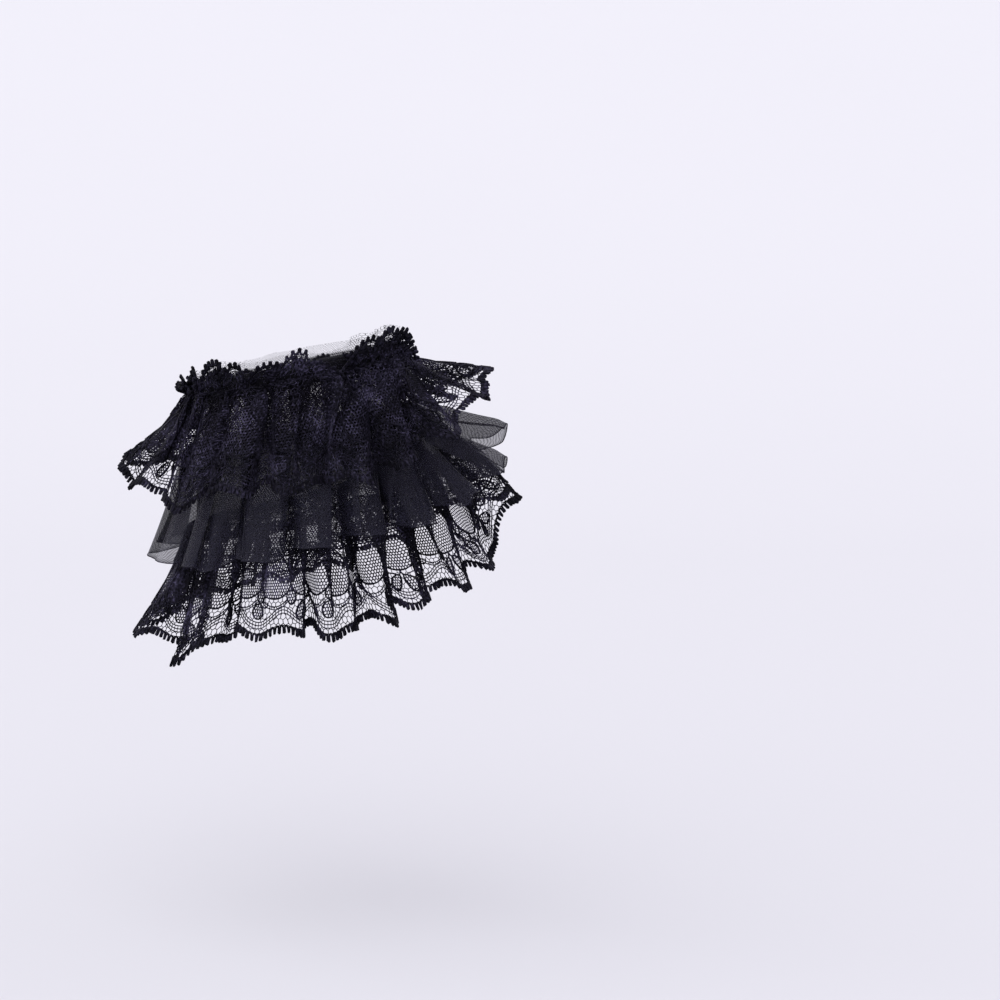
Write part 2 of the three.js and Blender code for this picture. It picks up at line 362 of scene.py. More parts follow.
class Ruffle:
    """A gathered ruffle's cloth. s is the distance along its hem, d the distance down from its seam."""

    # Steps between two of the hem's points, and the distance over which a direction is measured
    STEPS = 40
    REACH = 0.4

    def __init__(self, row):
        self.row = row
        self.wide = row["wide"]
        self.pleats = row["pleats"]
        hem, valleys = self.hem_points(row["folds"])
        place = np.arange(len(hem) * self.STEPS) / self.STEPS
        i = place.astype(int)
        f = (place - i)[:, None]
        before, start, end, after = (hem[(i + k) % len(hem)] for k in (-1, 0, 1, 2))
        lean_in = (end - before) / 2
        lean_out = (after - start) / 2
        turn = 3 * (end - start) - 2 * lean_in - lean_out
        curve = start + f * (lean_in + f * (turn + f * (lean_in + lean_out - 2 * (end - start))))
        self.curve = np.vstack([curve, curve[:1]])
        steps = np.linalg.norm(np.diff(self.curve, axis=0), axis=1)
        self.along = np.concatenate([[0], np.cumsum(steps)]) * self.pleats["full"]
        self.length = self.along[-1]
        self.repeats = round(self.length / (2 * SCALLOP_WIDE))
        self.stops = self.along[:: 4 * self.STEPS]
        self.angles = np.append(valleys, valleys[0] + 360)

    def hem_points(self, folds):
        """Four points of the hem for each fold: the valley before it, a shoulder, the crest, a shoulder."""
        before = {name: np.roll(column, 1) for name, column in folds.items()}
        turn = np.where(np.arange(len(folds["at"])) == 0, 360, 0)
        valleys = (folds["at"] - folds["half"] + before["at"] + before["half"] - turn) / 2
        shoulder = folds["reach"] - SHOULDER * (folds["reach"] - folds["pinch"])
        low = folds["hem"] - folds["droop"]
        points = [
            polar(valleys, before["pinch"], (low + before["hem"] - before["droop"]) / 2 + self.row["lift"]),
            polar(folds["at"] - folds["half"], shoulder, low),
            polar(folds["at"], folds["reach"], folds["hem"]),
            polar(folds["at"] + folds["half"], shoulder, low),
        ]
        return np.stack(points, axis=1).reshape(-1, 3), valleys

    def column(self, s):
        """For places along the hem: the hem's point, the angle at the seam, and the arch."""
        s = s % self.length
        hem = np.stack([np.interp(s, self.along, self.curve[:, k]) for k in range(3)], axis=-1)
        i = np.clip(np.searchsorted(self.stops, s, side="right") - 1, 0, len(self.stops) - 2)
        share = (s - self.stops[i]) / (self.stops[i + 1] - self.stops[i])
        angle = self.angles[i] + (self.angles[i + 1] - self.angles[i]) * share
        return hem, angle, self.row["folds"]["arch"][i] * np.sin(np.pi * share)

    def base(self, s, d):
        """The ruffle's surface without its small pleats."""
        row = self.row
        hem, angle, arch = self.column(s)
        t = np.maximum(d / self.wide, 0)
        tube = on_tube(angle, row["level"] - row["fall"] * t, SEAM_RADIUS)
        below = on_tube(angle, row["level"] - row["fall"], SEAM_RADIUS)
        fallen = tube + (hem - below) * (t ** row["hug"])[..., None]
        fallen[..., 2] += arch * np.sin(np.pi * np.minimum(t, 1))
        if "heading" not in row:
            return fallen
        up = np.maximum(-d / row["heading"], 0)
        level = up * heading_height("lace", angle)
        lean = up * (HEADING["lean"] + HEADING["frill"] * waves(angle / 360, CURLS))
        raised = on_tube(angle, level, SEAM_RADIUS + lean)
        return np.where((d < 0)[..., None], raised, fallen)

    def folds_at(self, s, d):
        """How far the small pleats stand out from the ruffle's surface, lie over sideways, and rise."""
        share = s / self.length
        sizes = self.pleats
        t = np.clip(d / self.wide, 0, 1)
        _, angle, _ = self.column(s)
        calm = sum(much * bell(angle, at, CALM_HALF) for at, much in self.row["calm"])
        tight, _ = turns_at(share, sizes["fine"], SHIFTED["fine"])
        turns, rate = turns_at(share, sizes["broad"], SHIFTED["broad"] * sizes["broad"])
        fold = knife(turns)
        gathered = 2 * np.pi * SEAM_RADIUS / self.length
        slack = (1 - gathered - (1 / sizes["full"] - gathered) * t) * (1 - sizes["loosened"] * t**3)
        opened = (1 - np.exp(-t / FADES["folds"])) * (1 - calm)
        depth = sizes["folded"] * (1 - sizes["loosened"] * t**2)
        crimp = sizes["deep"] * (0.5 + 0.5 * wave(tight, 1, 0))
        swing = sizes["over"] * wave(tight, 2, 0)
        near = np.exp(-((t / FADES["crimps"]) ** 2))
        out = near * crimp + opened * depth * (0.5 * (1 - t) + fold)
        out += sizes["flutter"] * t * t * waves(share, FLUTTER)
        over = near * swing + opened * slack * FORWARD * self.length / rate * fold
        if "heading" not in self.row:
            return out, over, 0 * out
        up = np.clip(-d / self.row["heading"], 0, 1)
        turns, rate = turns_at(share, 2 * self.repeats, SHIFTED["heading"])
        fold = knife(turns)
        uneven = 1 + waves(share, UNEVEN_LOBES)
        near = np.exp(-((up / FADES["heading"]) ** 2))
        raised = near * crimp + up * sizes["ruff"] * uneven * fold
        spread = near * swing + np.sqrt(up) * (1 - gathered) * FORWARD * self.length / rate * fold
        rise = up * sizes["arc"] * uneven * np.cos(LOBE_ARC * np.pi * (turns % 1 - 0.5))
        for at, half, tall in zip(*LOBES.values()):
            lobe = up * tall * bell(angle, at, half)
            rise += lobe
            raised -= LOBE_LEAN * lobe
        return np.where(d < 0, raised, out), np.where(d < 0, spread, over), rise

    def pleated(self, s, d):
        """The surface with its pleats."""
        e = self.REACH
        here = self.base(s, d)
        across = self.base(s + e, d) - here
        down = self.base(s, d + e) - here
        outward = unit(np.cross(down, across))
        out, over, rise = self.folds_at(s, d)
        place = here + outward * out[..., None] + unit(across) * over[..., None]
        place[..., 2] += rise
        return place

    def lie(self, s, d):
        """Points on the cloth, and the way out of it at each."""
        s, d = np.broadcast_arrays(np.asarray(s, float), np.asarray(d, float))
        e = self.REACH / 2
        here = self.pleated(s, d)
        across = self.pleated(s + e, d) - here
        down = self.pleated(s, d + e) - here
        return here, unit(np.cross(down, across))


class Tube(Ruffle):
    """The net tube. s is the distance round it and d the distance down from the elastic's middle."""

    def __init__(self):
        self.length = 2 * np.pi * NET_RADIUS

    def pleated(self, s, d):
        """The tube's surface, with the crimped frill above its neck."""
        angle = 360 * s / self.length
        above = np.clip((-d - NET["neck"]) / (NET["top"] - NET["neck"]), 0, None)
        height = NET["neck"] + (heading_height("net", angle) - NET["neck"]) * above
        level = np.where(above > 0, height, -d)
        lean = above * (NET["lean"] + NET["frill"] * waves(angle / 360, CURLS))
        crimp = np.minimum(above, 1) * waves(s / self.length, FRILL_CRIMPS)
        return on_tube(angle, level, NET_RADIUS + lean + crimp)


class Yarn:
    """Threads for one mesh: rings of points along each thread, joined by four-sided faces."""

    def __init__(self):
        self.points = []
        self.faces = []
        self.count = 0

    def threads(self, centres, outward, radius, sides=3, closed=False):
        """centres[i, j] is point j of thread i, and outward says which way is out of the cloth there.
        Two sides make a flat tape that lies in the cloth, with one face for each step."""
        if closed:
            along = np.roll(centres, -1, axis=1) - np.roll(centres, 1, axis=1)
        else:
            along = np.gradient(centres, axis=1)
        along = unit(along)
        side = unit(np.cross(along, outward))
        out = np.cross(side, along)
        turn = 2 * np.pi * (np.arange(sides) + 0.5) / sides
        ring = np.cos(turn)[:, None] * out[:, :, None] + np.sin(turn)[:, None] * side[:, :, None]
        points = centres[:, :, None] + radius * ring
        many, steps = centres.shape[:2]
        links = steps if closed else steps - 1
        i = np.arange(many)[:, None, None] * steps
        j = np.arange(links)[None, :, None]
        k = np.arange(sides if sides > 2 else 1)[None, None, :]
        here = (i + j) * sides
        there = (i + (j + 1) % steps) * sides
        next_k = (k + 1) % sides
        faces = np.stack([here + k, here + next_k, there + next_k, there + k], axis=-1)
        self.add(points.reshape(-1, 3), faces.reshape(-1, 4))

    def ring(self, cloth, s, d, radius, sides=3, lift=0.0):
        """One thread that goes once round a cloth."""
        centres, outward = cloth.lie(s, d)
        self.threads((centres + lift * outward)[None], outward[None], radius, sides, closed=True)

    def weave(self, grid, closed_across=False):
        """A surface through a grid of points that goes once round along its first index."""
        many, steps = grid.shape[:2]
        i = np.arange(many)[:, None]
        j = np.arange(steps if closed_across else steps - 1)[None, :]
        beside = (i + 1) % many * steps
        below = (j + 1) % steps
        faces = np.stack([i * steps + j, i * steps + below, beside + below, beside + j], axis=-1)
        self.add(grid.reshape(-1, 3), faces.reshape(-1, 4))

    def add(self, points, faces):
        """Points and four-sided faces as they are."""
        self.points.append(points)
        self.faces.append(faces + self.count)
        self.count += len(points)

    def piece(self, name, finish, cloth_place=None):
        """The mesh as an object of the scene, with its finish."""
        points = np.concatenate(self.points) * MM
        faces = np.concatenate(self.faces)
        mesh = bpy.data.meshes.new(name)
        mesh.vertices.add(len(points))
        mesh.vertices.foreach_set("co", points.astype(np.float32).ravel())
        mesh.loops.add(4 * len(faces))
        mesh.loops.foreach_set("vertex_index", faces.astype(np.int32).ravel())
        mesh.polygons.add(len(faces))
        mesh.polygons.foreach_set("loop_start", np.arange(0, 4 * len(faces), 4, dtype=np.int32))
        mesh.polygons.foreach_set("loop_total", np.full(len(faces), 4, np.int32))
        mesh.polygons.foreach_set("use_smooth", np.ones(len(faces), bool))
        mesh.update(calc_edges=True)
        if cloth_place is not None:
            attribute = mesh.attributes.new("cloth_place", "FLOAT_VECTOR", "POINT")
            attribute.data.foreach_set("vector", cloth_place.astype(np.float32).ravel())
        mesh.materials.append(finish)
        made = bpy.data.objects.new(name, mesh)
        bpy.context.scene.collection.objects.link(made)
        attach(made, "root")
        return made


# The lace's drawing for one repeat of two scallops, x along the lace from the first
# notch and y up from the edge's level line. Each motif is an oval that may narrow
# towards the end that its turn points to, filled with fine net or left open.
REPEAT = 2 * SCALLOP_WIDE
MOTIF = "x y long wide turn taper open"
HEM_MOTIFS = table(
    MOTIF,
    # the garland's petals
    *[(x, 22, 9.6, 8.7, 90, -0.3) for x in (4.5, 22.5, 40.5)],
    # round leaves, one over the other, in the first scallop
    (13.2, 7.7, 3, 2.9),
    (14, 13.4, 2.6, 2.5),
    # a pair of leaves in the second scallop
    (36.9, 7.6, 3.9, 2.3, 48, -0.35),
    (44.2, 7.6, 3.9, 2.3, 132, -0.35),
    # buds where the petals meet
    *[(x, 12.8, 2.7, 2.3, 90, 0.2) for x in (31.5, 49.5)],
    # a spray of leaves between the petals' tips
    *[(x, 31.8, 3.9, 1.9, turn, -0.3) for x, turn in ((28.9, 122), (34.1, 58), (46.9, 122), (52.1, 58))],
    *[(x, 35.4, 2.2, 1.7, 90) for x in (31.5, 49.5)],
)
FLOWER = {"x": 13.5, "y": 31.6, "petals": 6, "ring": 4.1, "long": 2.7, "wide": 2.05, "taper": 0.3, "eye": 1.2}
TOP_LEAVES = {"count": 9, "y": 40, "long": 2.5, "wide": 1.6, "turn": 24}
STEMS = (
    ((13.6, 30.4), (14.3, 27), (13.4, 22), (13.5, 18), (14, 15.9)),
    ((31.5, 33.4), (31.2, 27), (31.7, 21), (31.5, 15.4)),
    ((49.5, 33.4), (49.8, 27), (49.3, 21), (49.5, 15.4)),
    ((14, 10.9), (16.4, 9.4), (18.6, 9.6), (19.2, 11)),
    ((31.5, 10.1), (33, 11.4), (36, 11.2), (39.4, 10.5), (40.5, 12.3)),
    ((49.5, 10.1), (48, 11.4), (45, 11.2), (41.6, 10.5), (40.5, 12.3)),
)
# Swags of two threads and their rungs that hang below the petals
SWAGS = table("x half y rise", (4.5, 7.4, 7.8, 3.4), (22.5, 7.4, 8.4, 3.2))
SWAG = {"apart": 1.1, "steps": 13}
HEADING_MOTIFS = table(
    MOTIF,
    *[(6.75 * i + 3.4, 46.2, 2.5, 1.5, 30 if i % 2 else 150) for i in range(8)],
)
# Half the width of each kind of thread, and the size of the nets' cells with the share of it by which
# their corners are off
THREAD = {"net": 0.175, "fine": 0.24, "cord": 0.4, "stem": 0.3, "rung": 0.17, "ladder": 0.25, "edge": 0.2}
SEWN = {"tulle": 0.16, "organza": 0.2, "gathers": 0.2}
CELLS = {"net": 2.3, "fine": 1.3, "uneven": 0.2}
# Two sums whose last digits shift a thread's end, the first along the lace and the second across it
SHAKES = ((12.9898, 78.233, 43758.5453), (39.3467, 11.135, 24634.6345))
HALVINGS = 9
LADDER = {"levels": (2.6, 3.8, 5), "cusp": 2.6, "pitch": 1.5}
PICOT = {"pitch": 2.2, "out": 1.95, "cord": 0.54, "behind": 0.75, "edge_steps": 3}
# Half of one picot: a share of the pitch from its middle, and a share of its length out
PICOT_LOOP = ((0, 1), (0.12, 0.94), (0.15, 0.1), (0.28, -0.25), (0.5, -0.36))
# Waves from picot to picot, each with its size, its rate and its start: in their length and in their lean
PICOT_UNEVEN = ((0.09, 2.3, 0), (0.07, 5.1, 1))
PICOT_LEAN = ((0.12, 1.7, 0),)
# Cords lie this far out of the net
LIFT = 0.14
# The net ends this far from the edge and from the seam, and the cords this far from the seam
GAPS = {"edge": 0.2, "seam": 0.1, "cords": 0.2}
REPEAT_STEPS = 49
OUTLINE_STEPS = {"least": 10, "each_mm": 2.4}


def hem_motifs():
    """All the motifs of the lace's lower part."""
    rows = rows_of(HEM_MOTIFS)
    for i in range(FLOWER["petals"]):
        turn = 360 * i / FLOWER["petals"] + 30
        x = FLOWER["x"] + FLOWER["ring"] * math.cos(math.radians(turn))
        y = FLOWER["y"] + FLOWER["ring"] * math.sin(math.radians(turn))
        rows.append(named(MOTIF, (x, y, FLOWER["long"], FLOWER["wide"], turn, FLOWER["taper"], 0)))
    rows.append(named(MOTIF, (FLOWER["x"], FLOWER["y"], FLOWER["eye"], FLOWER["eye"], 0, 0, 1)))
    for i in range(TOP_LEAVES["count"]):
        x = REPEAT * (i + 0.5) / TOP_LEAVES["count"]
        turn = TOP_LEAVES["turn"] * (-1) ** i
        rows.append(named(MOTIF, (x, TOP_LEAVES["y"], TOP_LEAVES["long"], TOP_LEAVES["wide"], turn, 0, 0)))
    return rows


def motif_edge(row, steps):
    """Points round a motif's outline."""
    turn = 2 * np.pi * np.arange(steps) / steps
    long = row["long"] * np.cos(turn)
    wide = row["wide"] * np.sin(turn) * (1 + row["taper"] * np.cos(turn))
    c = math.cos(math.radians(row["turn"]))
    s = math.sin(math.radians(row["turn"]))
    return row["x"] + c * long - s * wide, row["y"] + s * long + c * wide


def outside(rows, x, y):
    """Below 0 inside any of the motifs, and above 0 outside all of them."""
    least = np.full(np.shape(x), 1e3)
    for row in rows:
        c = math.cos(math.radians(row["turn"]))
        s = math.sin(math.radians(row["turn"]))
        dx = (x - row["x"] + REPEAT / 2) % REPEAT - REPEAT / 2
        dy = y - row["y"]
        long = (c * dx + s * dy) / row["long"]
        wide = (c * dy - s * dx) / (row["wide"] * np.maximum(1 + row["taper"] * long, 0.2))
        least = np.minimum(least, long**2 + wide**2 - 1)
    return least


def shaken(x, y, much):
    """The points moved a little, each by an amount that depends on its place alone."""
    key_x = np.round(x % REPEAT, 2)
    key_y = np.round(y, 2)
    shakes = [np.sin(a * key_x + b * key_y) * c % 1 - 0.5 for a, b, c in SHAKES]
    return x + much * shakes[0], y + much * shakes[1]


def honeycomb(cell, low, high):
    """The edges of a net of six-sided cells over one repeat, each as x and y at its two ends."""
    count = round(REPEAT / cell)
    cell = REPEAT / count
    edge = cell / math.sqrt(3)
    rows = np.arange(math.floor(low / (1.5 * edge)), math.ceil(high / (1.5 * edge)) + 1)
    i, j = np.meshgrid(np.arange(count), rows)
    x = (i + 0.5 * (j % 2)) * cell
    y = 1.5 * edge * j
    top = (x, y + edge)
    right = (x + cell / 2, y + edge / 2)
    left = (x - cell / 2, y + edge / 2)
    low_right = (x + cell / 2, y - edge / 2)
    pairs = ((top, right), (right, low_right), (top, left))
    ends_x = np.concatenate([np.stack([a[0], b[0]], -1).reshape(-1, 2) for a, b in pairs])
    ends_y = np.concatenate([np.stack([a[1], b[1]], -1).reshape(-1, 2) for a, b in pairs])
    return shaken(ends_x, ends_y, CELLS["uneven"] * cell)


def trimmed(x, y, inside):
    """The edges where inside is above 0, cut at the border where only one end is."""
    within = inside(x, y) > 0
    whole = within.all(axis=1)
    crossing = within.any(axis=1) & ~whole
    cut_x = np.where(within[crossing, :1], x[crossing], x[crossing][:, ::-1])
    cut_y = np.where(within[crossing, :1], y[crossing], y[crossing][:, ::-1])
    near = np.zeros(len(cut_x))
    far = np.ones(len(cut_x))
    for _ in range(HALVINGS):
        half = (near + far) / 2
        mid_x = cut_x[:, 0] + half * (cut_x[:, 1] - cut_x[:, 0])
        mid_y = cut_y[:, 0] + half * (cut_y[:, 1] - cut_y[:, 0])
        good = inside(mid_x, mid_y) > 0
        near = np.where(good, half, near)
        far = np.where(good, far, half)
    cut_x[:, 1] = cut_x[:, 0] + near * (cut_x[:, 1] - cut_x[:, 0])
    cut_y[:, 1] = cut_y[:, 0] + near * (cut_y[:, 1] - cut_y[:, 0])
    return np.concatenate([x[whole], cut_x]), np.concatenate([y[whole], cut_y])


def eased(points, steps):
    """A smooth line through a few points, as x and y."""
    points = np.array(points, float)
    place = np.linspace(0, len(points) - 1, steps)
    i = np.minimum(place.astype(int), len(points) - 2)
    f = (place - i)[:, None]
    padded = np.vstack([2 * points[0] - points[1], points, 2 * points[-1] - points[-2]])
    a, b, c, e = (padded[i + k] for k in range(4))
    line = b + f * ((c - a) / 2 + f * (a - 2.5 * b + 2 * c - e / 2 + f * (1.5 * (b - c) + (e - a) / 2)))
    return line[:, 0], line[:, 1]


class Lace:
    """Draws the lace's threads on a ruffle's cloth."""

    def __init__(self, cloth):
        self.cloth = cloth
        self.repeats = cloth.repeats
        self.stretch = cloth.length / (REPEAT * self.repeats)
        self.level = cloth.wide - PICOT["out"]
        self.deep = cloth.wide * cloth.row["scallop"] / cloth.row["fall"]

    def edge(self, x):
        """Height of the scalloped edge over its level line."""
        return -self.deep * (scallop(x) - HEM_LINE)

    def ladder(self, x, level):
        """Height of one of the ladder's lines, which rise to a cusp over each notch."""
        return self.edge(x) + level + LADDER["cusp"] * (1 - scallop(x)) ** 2

    def draw(self, yarn, x, y, radius, sides=3, closed=False, lift=0.0):
        """Threads at x and y, point by point, repeated round the whole lace."""
        x = np.atleast_2d(x)
        y = np.broadcast_to(np.atleast_2d(y), x.shape)
        shift = REPEAT * np.arange(self.repeats)[:, None, None]
        s = (x[None] + shift) * self.stretch
        d = np.broadcast_to(self.level - y[None], s.shape)
        s = s.reshape(-1, s.shape[-1])
        d = d.reshape(-1, s.shape[-1])
        centres, outward = self.cloth.lie(s, d)
        yarn.threads(centres + lift * outward, outward, radius, sides, closed)

    def nets(self, yarn, rows, low, high, inside):
        """The open ground, and the fine net inside the motifs."""
        filled = [row for row in rows if not row["open"]]
        holes = [row for row in rows if row["open"]]

        def ground(x, y):
            return np.minimum(outside(rows, x, y), inside(x, y))

        def fine(x, y):
            clear = outside(holes, x, y) if holes else 1
            return np.minimum(np.minimum(-outside(filled, x, y), clear), inside(x, y))

        for kind, sides, where in (("net", 3, ground), ("fine", 2, fine)):
            x, y = trimmed(*honeycomb(CELLS[kind], low, high), where)
            self.draw(yarn, x, y, THREAD[kind], sides)

    def outlines(self, yarn, rows, top):
        """A cord round each motif, held down to the top where it would pass it."""
        for row in rows:
            around = row["long"] + row["wide"]
            x, y = motif_edge(row, max(OUTLINE_STEPS["least"], round(OUTLINE_STEPS["each_mm"] * around)))
            self.draw(yarn, x, np.minimum(y, top), THREAD["cord"], 4, closed=True, lift=LIFT)

    def stems(self, yarn):
        """The stems that join the motifs, and the swags below the petals."""
        for points in STEMS:
            x, y = eased(points, 4 * len(points))
            self.draw(yarn, x, y, THREAD["stem"], 4, lift=LIFT)
        turn = np.linspace(-1, 1, SWAG["steps"])
        for swag in rows_of(SWAGS):
            x = swag["x"] + swag["half"] * turn
            y = swag["y"] + swag["rise"] * turn**2
            for up in (0, SWAG["apart"]):
                self.draw(yarn, x, y + up, THREAD["ladder"])
            for k in range(1, len(x) - 1):
                self.draw(yarn, [x[k], x[k]], [y[k], y[k] + SWAG["apart"]], THREAD["rung"])

    def ladder_band(self, yarn):
        """The parallel lines with rungs that follow the scalloped edge."""
        x = np.linspace(0, REPEAT, REPEAT_STEPS)
        for level in LADDER["levels"]:
            self.draw(yarn, x, self.ladder(x, level), THREAD["ladder"])
        rungs = round(REPEAT / LADDER["pitch"])
        x = REPEAT * (np.arange(rungs) + 0.5) / rungs
        heights = [self.ladder(x, level) for level in LADDER["levels"]]
        self.draw(yarn, np.stack([x] * len(heights), -1), np.stack(heights, -1), THREAD["rung"])

    def picots(self, yarn, line, out, sign):
        """The toothed cord along an edge. line gives the edge's y, and the teeth point to sign."""
        whole = REPEAT * self.repeats
        count = round(whole / PICOT["pitch"])
        half = np.array(PICOT_LOOP)
        loop = np.vstack([half, half[-2:0:-1] * (-1, 1) + (1, 0)])
        x = (np.arange(count)[:, None] + loop[None, :, 0]).ravel()
        tooth = np.repeat(np.arange(count), len(loop))
        uneven, lean = (
            sum(much * np.sin(rate * tooth + start) for much, rate, start in rows)
            for rows in (PICOT_UNEVEN, PICOT_LEAN)
        )
        reach = np.tile(loop[:, 1], count) * out * (1 + uneven)
        x = x * whole / count
        lean = lean * np.maximum(reach, 0)
        s = (x + lean) * self.stretch
        yarn.ring(self.cloth, s, self.level - line(x) - sign * reach, PICOT["cord"], 4)
        x = np.linspace(0, whole, PICOT["edge_steps"] * count, endpoint=False)
        s = x * self.stretch
        yarn.ring(self.cloth, s, self.level - line(x) + sign * PICOT["behind"], THREAD["edge"], 4)

    def skirt(self):
        """The net and the cords of a ruffle, from its seam to its toothed edge."""
        net = Yarn()
        cords = Yarn()
        rows = hem_motifs()
        lowest = LADDER["levels"][0]
        highest = LADDER["levels"][-1]

        def inside(x, y):
            band = np.maximum(self.ladder(x, lowest) - y, y - self.ladder(x, highest))
            edge = y - self.edge(x) - GAPS["edge"]
            return np.minimum(np.minimum(band, edge), self.level - GAPS["seam"] - y)

        self.nets(net, rows, -self.deep, self.level, inside)
        self.stems(net)
        self.ladder_band(net)
        self.outlines(cords, [row for row in rows if row["y"] < self.level], self.level - GAPS["cords"])
        self.picots(cords, self.edge, PICOT["out"], -1)
        return [net, cords]

    def heading(self):
        """The net and the cords of the heading, from the gathering stitches up to its toothed edge."""
        net = Yarn()
        cords = Yarn()
        rows = rows_of(HEADING_MOTIFS)
        top = self.level + self.cloth.row["heading"] - HEADING["room"]

        def edge(x):
            return top + HEADING["scallop"] * (scallop(x) - HEM_LINE)

        def inside(x, y):
            return np.minimum(edge(x) - GAPS["edge"] - y, y - self.level)

        self.nets(net, rows, self.level, top + HEADING["scallop"], inside)
        self.outlines(net, rows, top)
        x = np.linspace(0, REPEAT, REPEAT_STEPS)
        for level in HEADING["lines"]:
            self.draw(cords, x, edge(x) - level, THREAD["ladder"])
        self.picots(cords, edge, HEADING["teeth"], 1)
        return [net, cords]


# Finishes


class Value:
    """A number that varies over a surface. Arithmetic on it adds Math nodes."""

    def __init__(self, finish, socket):
        self.finish = finish
        self.socket = socket

    def math(self, operation, *numbers):
        """The result of one Math node."""
        sockets = dict(enumerate(numbers))
        return Value(self.finish, self.finish.node("Math", {"operation": operation}, sockets).outputs[0])

    def __add__(self, other):
        return self.math("ADD", self, other)

    def __radd__(self, other):
        return self.math("ADD", other, self)

    def __sub__(self, other):
        return self.math("SUBTRACT", self, other)

    def __rsub__(self, other):
        return self.math("SUBTRACT", other, self)

    def __mul__(self, other):
        return self.math("MULTIPLY", self, other)

    def __rmul__(self, other):
        return self.math("MULTIPLY", other, self)

    def __pow__(self, other):
        return self.math("POWER", self, other)

    def wrapped(self, step):
        """How far it is from the nearest whole number of steps."""
        return self.math("ABSOLUTE", self.math("WRAP", self, -step / 2, step / 2))


class Finish:
    """One procedural material of the cuff."""

    def __init__(self, name, **fixed):
        self.material = bpy.data.materials.new(name)
        self.material.use_nodes = True
        self.tree = self.material.node_tree
        self.shader = self.tree.nodes["Principled BSDF"]
        self.set(**fixed)

    def node(self, kind, settings=None, sockets=None):
        """Any node, from its type, its settings and the values or links of its sockets."""
        made = self.tree.nodes.new("ShaderNode" + kind)
        for name, setting in (settings or {}).items():
            setattr(made, name, setting)
        for name, value in (sockets or {}).items():
            self.feed(made.inputs[name], value)
        return made

    def feed(self, socket, value):
        """Links a value or another socket to a socket, or sets it to a plain number or colour."""
        if isinstance(value, Value):
            value = value.socket
        if isinstance(value, bpy.types.NodeSocket):
            self.tree.links.new(value, socket)
        else:
            socket.default_value = value

    def set(self, **sockets):
        """Sets or links the shader's sockets, named with _ for a space."""
        for name, value in sockets.items():
            self.feed(self.shader.inputs[name.replace("_", " ")], value)

    def place(self, scale, attribute=None):
        """Where a point is on the object in metres, or on its cloth in millimetres, times scale."""
        if attribute:
            place = self.node("Attribute", {"attribute_name": attribute}).outputs["Vector"]
        else:
            place = self.node("TexCoord").outputs["Object"]
        return self.node("Mapping", None, {"Vector": place, "Scale": scale}).outputs["Vector"]

    def parts(self, place):
        """The three parts of a place."""
        made = self.node("SeparateXYZ", None, {"Vector": place})
        return [Value(self, made.outputs[name]) for name in "XYZ"]

    def noise(self, place, scale, detail=2.0):
        """A cloudy pattern from 0 to 1."""
        made = self.node("TexNoise", None, {"Vector": place, "Scale": scale, "Detail": detail})
        return Value(self, made.outputs["Fac"])

    def bands(self, place, scale, direction="X", distortion=0.0, detail_scale=1.0):
        """Soft stripes from 0 to 1."""
        made = self.node(
            "TexWave",
            {"wave_type": "BANDS", "bands_direction": direction, "wave_profile": "SIN"},
            {"Vector": place, "Scale": scale, "Distortion": distortion, "Detail Scale": detail_scale},
        )
        return Value(self, made.outputs["Fac"])

    def between(self, share, first, second):
        """A colour between two, by a share."""
        made = self.node("Mix", {"data_type": "RGBA"})
        colours = [socket for socket in made.inputs if socket.type == "RGBA"]
        self.feed(made.inputs[0], share)
        self.feed(colours[0], (*first, 1))
        self.feed(colours[1], (*second, 1))
        return next(socket for socket in made.outputs if socket.type == "RGBA")

    def bump(self, height, distance):
        """Small relief, distance metres high where height is 1."""
        made = self.node("Bump", None, {"Height": height, "Distance": distance, "Strength": 1.0})
        self.set(Normal=made.outputs["Normal"])


IN_MM = (1000, 1000, 1000)
ON_CLOTH = "cloth_place"
# The tulle's cells, the width of its threads in the doubled tube and in the frill, and how much of the
# cells the tube's second layer covers
TULLE = {"cell": 0.95, "tube": 0.2, "frill": 0.1, "haze": 0.45}


def lace_thread(name, dark, painted_highlight_colour, roughness):
    """Twisted nylon yarn: near-black, with a painted violet highlight in random patches and specks, and its
    plies.
    """
    finish = Finish(name, Specular_IOR_Level=0.045)
    place = finish.place(IN_MM)
    # Broad patches of painted light, standing in for lit and shaded folds
    painted_light_patches = finish.noise(place, 0.07)
    fibres = finish.noise(place, 1.0, 3.0)
    plies = finish.bands(place, 0.9, "DIAGONAL", 1.5)
    # Share of the painted violet highlight: lit patches and specks where the noises peak
    painted_highlight_share = 40 * (0.45 * painted_light_patches + 0.55 * fibres) ** 8
    finish.set(Base_Color=finish.between(painted_highlight_share, dark, painted_highlight_colour))
    finish.set(Roughness=roughness + 0.2 * fibres)
    finish.bump(plies + 0.5 * fibres, 0.00004)
    return finish.material


def sheer_organza():
    """Crisp sheer weave: threads both ways, a grain like wood where it shimmers, and a dense hem."""
    finish = Finish("sheer organza", Specular_IOR_Level=0.12, Sheen_Weight=0.05, Sheen_Roughness=0.3)
    place = finish.place((1, 1, 1), ON_CLOTH)
    streaks = finish.noise(finish.place((1.1, 0.02, 1), ON_CLOTH), 1.0, 3.0)
    grain = finish.bands(place, 0.38, "DIAGONAL", 7.0, 0.6)
    warp = finish.bands(place, 1.6, "X", 0.3)
    weft = finish.bands(place, 1.6, "Y", 0.3)
    weave = 0.5 * warp + 0.5 * weft
    hem = finish.parts(place)[2]
    shade = 0.25 + 0.4 * streaks + 0.1 * weave
    finish.set(Base_Color=finish.between(shade, (0.004, 0.004, 0.0075), (0.02, 0.019, 0.034)))
    finish.set(Roughness=0.47 + 0.1 * weave)
    finish.set(Alpha=0.5 + 0.1 * streaks + 0.24 * grain**2 + 0.06 * weave + 0.2 * hem)
    finish.bump(0.2 * weave + 0.3 * streaks, 0.00006)
    return finish.material


